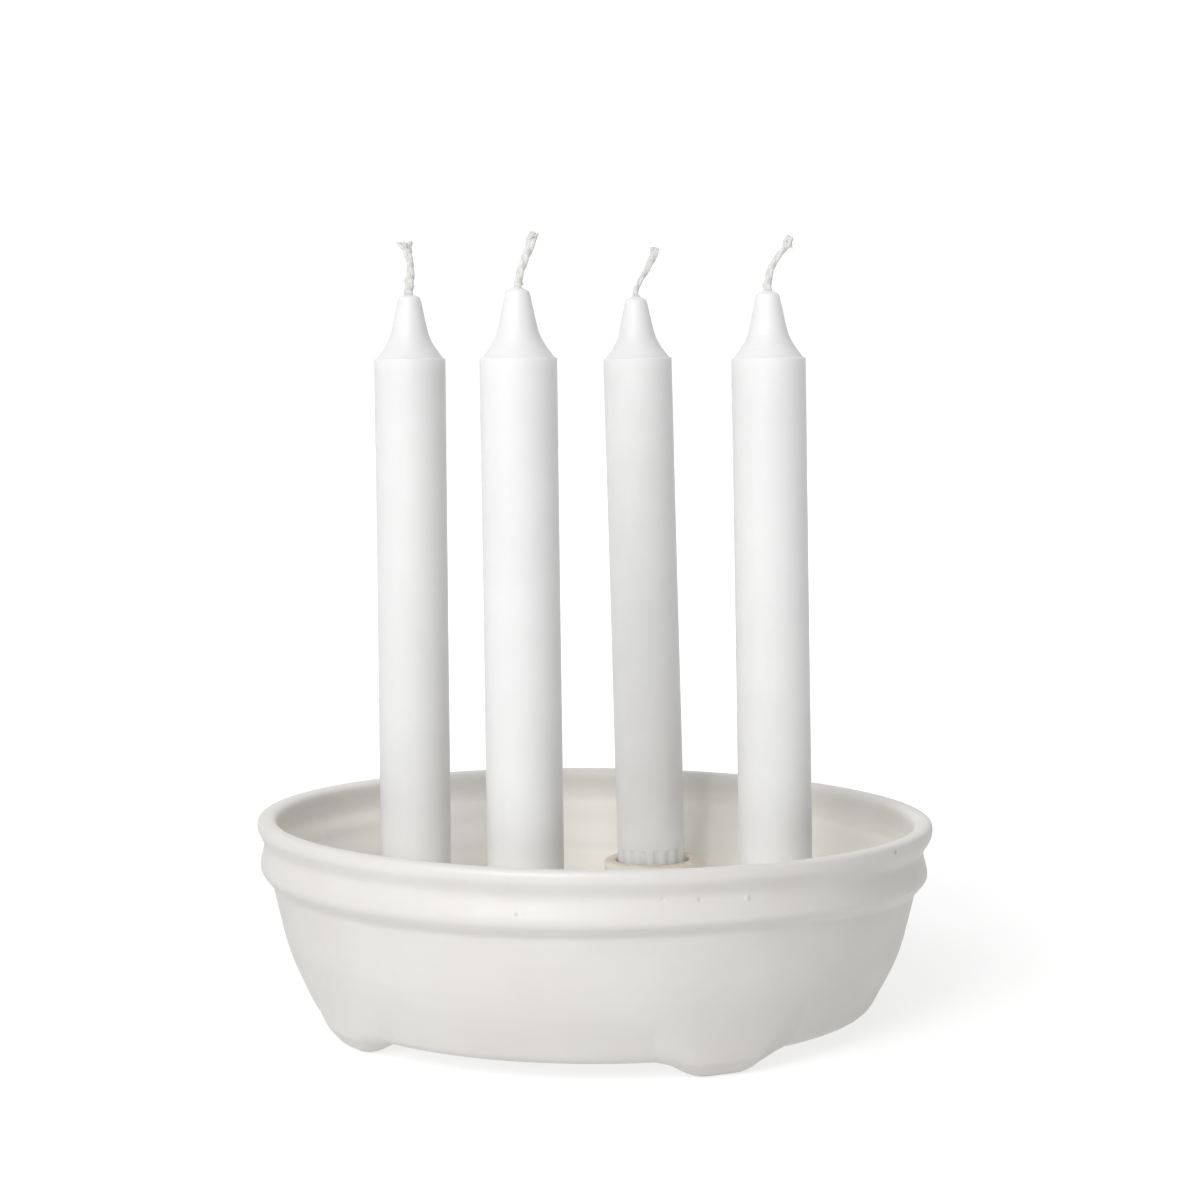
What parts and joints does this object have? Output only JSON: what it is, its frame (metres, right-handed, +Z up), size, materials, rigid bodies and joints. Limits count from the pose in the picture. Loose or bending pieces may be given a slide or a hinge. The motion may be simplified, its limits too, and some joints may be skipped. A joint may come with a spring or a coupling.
{
  "type": "candle plate",
  "caption": "Footed stoneware plate with a raised rolled rim and candle cups on its floor, each holding a loose crown candle with a braided wick.",
  "frame": {"origin": "on the ground, below the middle of the bowl's round rim", "axes": "+Z up. The candle cups stand on the -X, -Y, +Y and +X axes, in that order. The pictured view looks from the -Y side, 19 degrees round towards +X"},
  "size_m": [0.205, 0.205, 0.2383],
  "materials": {
    "glazed_stoneware": "satin white glaze over stoneware",
    "candle_wax": "smooth stearin-like wax, slightly translucent",
    "wick_cotton": "braided bleached cotton"
  },
  "bodies": {
    "plate": {"bowl": "glazed_stoneware", "foot_1": "glazed_stoneware", "foot_2": "glazed_stoneware", "foot_3": "glazed_stoneware", "foot_4": "glazed_stoneware", "socket_1": "glazed_stoneware", "socket_2": "glazed_stoneware", "socket_3": "glazed_stoneware", "socket_4": "glazed_stoneware"},
    "candle_1": {"candle_1": "candle_wax", "wick_1": "wick_cotton"},
    "candle_2": {"candle_2": "candle_wax", "wick_2": "wick_cotton"},
    "candle_3": {"candle_3": "candle_wax", "wick_3": "wick_cotton"},
    "candle_4": {"candle_4": "candle_wax", "wick_4": "wick_cotton"}
  },
  "joints": [
    {"name": "candle_1_lift", "type": "slide", "parent": "plate", "child": "candle_1", "axis": [-0.0064, -0.0022, 1], "range_m": [0, 0.06]},
    {"name": "candle_2_lift", "type": "slide", "parent": "plate", "child": "candle_2", "axis": [-0.0119, -0.0041, 0.9999], "range_m": [0, 0.06]},
    {"name": "candle_3_lift", "type": "slide", "parent": "plate", "child": "candle_3", "axis": [-0.0279, -0.0096, 0.9996], "range_m": [0, 0.06]},
    {"name": "candle_4_lift", "type": "slide", "parent": "plate", "child": "candle_4", "axis": [-0.0185, -0.0064, 0.9998], "range_m": [0, 0.06]}
  ]
}
